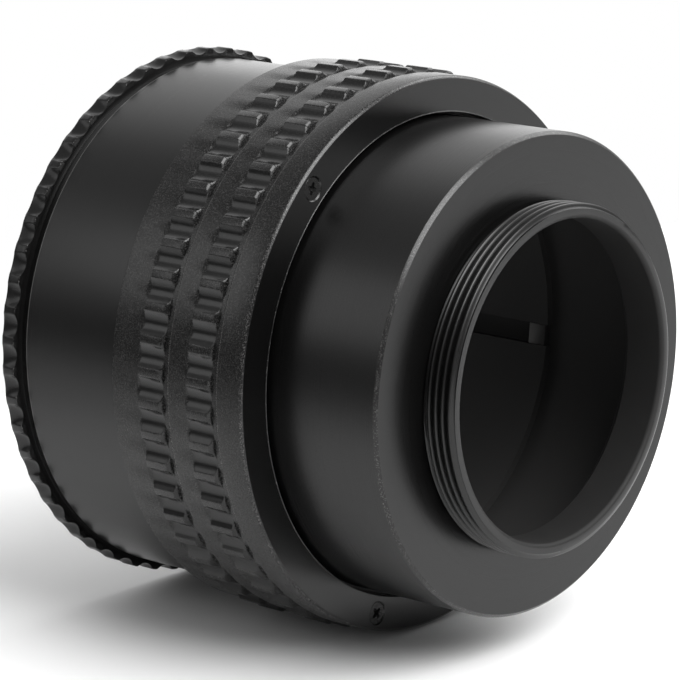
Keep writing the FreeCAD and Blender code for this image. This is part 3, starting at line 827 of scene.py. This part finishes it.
screw_set("grip_screws_cross_head", "focus_ring", "focus_grip_screws", GRIP_SCREW, [
    (along_axis(GRIP_SCREW_CIRCLE, a, GRIP_FACE_Y + HEAD_SUNK), spin)
    for a, spin in zip(GRIP_SCREW_ANGLES, (10, 20, 55))])
screw_set("mount_screws_cross_head", "lens_side", "lens_mount_screws", MOUNT_SCREW, [
    (along_axis(MOUNT_SCREW_CIRCLE, a, LENS_FACE_Y - MOUNT_HEAD_SUNK, True), spin)
    for a, spin in zip(MOUNT_SCREW_ANGLES, (15, 70, 40))])
screw_set("key_screws_cross_head", "camera_side", "camera_key_screws", KEY_SCREW, [
    (across_axis(KEY_SCREW_R, a, KEY_Y), spin) for a, spin in zip(KEY_ANGLES.values(), (0, 30))])
rail_places = [(a, y) for a in RAIL_ANGLES for y in RAIL_SCREW_YS]
screw_set("rail_screws_cross_head", "lens_side", "lens_rail_screws", RAIL_SCREW, [
    (across_axis(RAIL_SCREW_R, a, y), spin) for (a, y), spin in zip(rail_places, (5, 50, 20, 75))])

# %% [markdown]
# The guide keys are small blocks, ground on all sides with their edges just broken. They sit in the
# front end of the sleeve's slots and keep the camera barrel from turning. A cube with a small bevel
# is all they need.

# %% Guide keys
KEY_SIZE = (1.05, 2.5, 2.6)  # from the sleeve's bore to the barrel's wall, along the axis, across
KEY_MIDDLE_R = 26.825
KEY_EDGE = 0.08

for side, degrees in KEY_ANGLES.items():
    bm = bmesh.new()
    bmesh.ops.create_cube(bm, size=1)
    bmesh.ops.scale(bm, vec=KEY_SIZE, verts=bm.verts)
    bmesh.ops.translate(bm, vec=(KEY_MIDDLE_R, KEY_Y, 0), verts=bm.verts)
    bmesh.ops.bevel(bm, geom=bm.edges[:], offset=KEY_EDGE, segments=2, profile=0.5, affect="EDGES",
                    material=-1)
    about = Matrix.Rotation(-math.radians(degrees), 3, "Y")
    bmesh.ops.rotate(bm, cent=CENTRE, matrix=about, verts=bm.verts)
    finished(bm, f"guide_key_{side}_ground", "camera_side", f"camera_guide_key_{side}",
             key_steel)

# %% [markdown]
# The guide sleeve, the helicoid ring, its retaining ring, the two rails and the stop pin are plain
# forms that the CAD model already has in full. They keep their CAD shape and only need a finish.

# %% Finishes of the pieces that keep their CAD shape
# Their matte black carries painted fill light, as the inner walls of the turned pieces do.
matte = matte_anodised("matte_black_anodised")
CAD_FINISHES = {
    "guide_sleeve": matte, "helicoid_ring": matte, "sleeve_retaining_ring": matte,
    "lens_guide_rail_upper": key_steel, "lens_guide_rail_lower": key_steel,
    "rotation_stop_pin": screw_steel,
}
for node, material in CAD_FINISHES.items():
    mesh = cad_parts[node].data
    mesh.materials.clear()
    mesh.materials.append(material)
print("CAD pieces with a finish", len(CAD_FINISHES))

# %% [markdown]
# The helicoid stands on a sheet of white paper that ends behind it. The camera sees the sheet nearly
# white. What the object and the light see of it is a little greyer, and it is painted darker at the
# back left as painted shade, where the helicoid's shadow falls.

# %% Paper
FLOOR_Z = cad_box[0].z
PAPER_SIZE = (0.75, 0.65)  # metres
PAPER_MIDDLE = (0.245, -0.185)
DIAGONAL = 0.7071
PAPER_SEEN = (0.95, 0.95, 0.95, 1)
PAPER_NEAR = (0.84, 0.84, 0.84, 1)
# The grey of the painted shade at the back left of the paper.
PAPER_PAINTED_SHADE = (0.5, 0.5, 0.5, 1)

bm = bmesh.new()
bmesh.ops.create_grid(bm, x_segments=1, y_segments=1, size=0.5)
bmesh.ops.scale(bm, vec=(*PAPER_SIZE, 1), verts=bm.verts)
bmesh.ops.translate(bm, vec=(*PAPER_MIDDLE, FLOOR_Z), verts=bm.verts)
paper_mesh = bpy.data.meshes.new("paper")
bm.to_mesh(paper_mesh)
bm.free()
paper = bpy.data.objects.new("paper", paper_mesh)
bpy.context.scene.collection.objects.link(paper)

f = Finish(bpy.data.materials.new("white_paper"))
place, (x, y, z) = f.place()
back_left = (y - x) * DIAGONAL
# Painted shade: what the light and the helicoid see of the paper is painted darker towards the back
# left, where the shadow falls.
reflected_with_painted_shade = f.blend(f.ramp(back_left, 60.0, 150.0), PAPER_NEAR, PAPER_PAINTED_SHADE)
seen = f.node("ShaderNodeLightPath", output="Is Camera Ray")
paper_mesh.materials.append(f.surface(f.node("ShaderNodeBsdfPrincipled", values={
    "Base Color": f.blend(seen, reflected_with_painted_shade, PAPER_SEEN), "Roughness": 1.0, "Specular IOR Level": 0.0})))

# %% [markdown]
# The photo was taken in a light tent. A black object shows little but what it reflects, so the light
# is drawn as the object sees it: one bright panel above and before it, a smaller one to the right, a
# broad white wall behind to the right with a low panel in it, a weaker wall to the left, and a dim
# gap at the horizon. The camera itself sees white past the paper's edge.

# %% Light
PANELS = [  # azimuth, elevation, inner and outer half angle in degrees, level
    (0, 48, 14, 30, 7.0),
    (80, 38, 8, 24, 4.0),
    (138, 22, 15, 48, 0.78),
    (-137, 24, 5, 24, 0.28),
    (130, 4, 8, 22, 0.7),
]


def towards(azimuth, elevation):
    """A direction away from the object; azimuth 0 is towards the camera end, 90 towards +X."""
    a, e = math.radians(azimuth), math.radians(elevation)
    return (math.sin(a) * math.cos(e), -math.cos(a) * math.cos(e), math.sin(e))


world = bpy.data.worlds.new("light_tent")
bpy.context.scene.world = world
f = Finish(world)
direction = f.node("ShaderNodeTexCoord", output="Generated")
up = f.node("ShaderNodeSeparateXYZ", values={0: direction}, output=2)
walls = f.ramp(up, 0.02, 0.35, 0.14, 0.36)
from_below = f.ramp(up, -0.35, -0.01, 0.6, 0.0)
level = walls + from_below
for azimuth, elevation, inner, outer, strength in PANELS:
    facing = f.node("ShaderNodeVectorMath", {"operation": "DOT_PRODUCT"},
                    {0: direction, 1: towards(azimuth, elevation)}, "Value")
    edge, core = math.cos(math.radians(outer)), math.cos(math.radians(inner))
    level = level + f.ramp(facing, edge, core, 0.0, strength)
seen = f.node("ShaderNodeLightPath", output="Is Camera Ray")
white_to_the_camera = level * (1 - seen) + seen
sky = f.node("ShaderNodeBackground", values={
    "Color": (1, 1, 1, 1), "Strength": white_to_the_camera})
f.node("ShaderNodeOutputWorld", values={"Surface": sky})
print("panels in the tent", len(PANELS))

# %% [markdown]
# A small white card stands close to the left, behind the grip. It puts the soft bright patch on the
# barrel and on the first land of the grip. It is a lamp and not a panel of the tent, because it is
# near: its reflection is a patch, where a far panel's would run along the whole barrel.

# %% Card at the left
CARD_AT = (-127, 104, 75)
CARD_AIM = (98, -94, -67)
CARD_WIDTH = 0.08  # metres
CARD_WATTS = 0.0095


def set_up(name, data, place_mm, aim):
    """Puts a lamp or a camera at a place and points it along aim."""
    thing = bpy.data.objects.new(name, data)
    thing.location = Vector(place_mm) * METRE_PER_MM
    thing.rotation_mode = "QUATERNION"
    thing.rotation_quaternion = Vector(aim).to_track_quat("-Z", "Y")
    bpy.context.scene.collection.objects.link(thing)
    return thing


card_data = bpy.data.lights.new("side_card", "AREA")
card_data.shape = "DISK"
card_data.size = CARD_WIDTH
card_data.energy = CARD_WATTS
card = set_up("side_card", card_data, CARD_AT, CARD_AIM)
print("card at", tuple(round(c, 3) for c in card.location), "m")

# %% [markdown]
# The camera stands where the photo's ellipses put it: 440 mm away, with a long lens, 49 degrees to
# the left of the axis and looking down by 13 degrees.

# %% Camera
CAMERA_AT = (-325.53, -250.80, 100.73)
CAMERA_AIM = (0.73697, 0.63606, -0.22869)
SENSOR_WIDTH = 36.0
FOCAL_LENGTH = 190.59

camera_data = bpy.data.cameras.new("photo_camera")
camera_data.sensor_width = SENSOR_WIDTH
camera_data.lens = FOCAL_LENGTH
camera = set_up("photo_camera", camera_data, CAMERA_AT, CAMERA_AIM)
bpy.context.scene.camera = camera
bpy.context.scene.view_settings.view_transform = "Standard"
print("camera at", tuple(round(c, 3) for c in camera.location), "m")
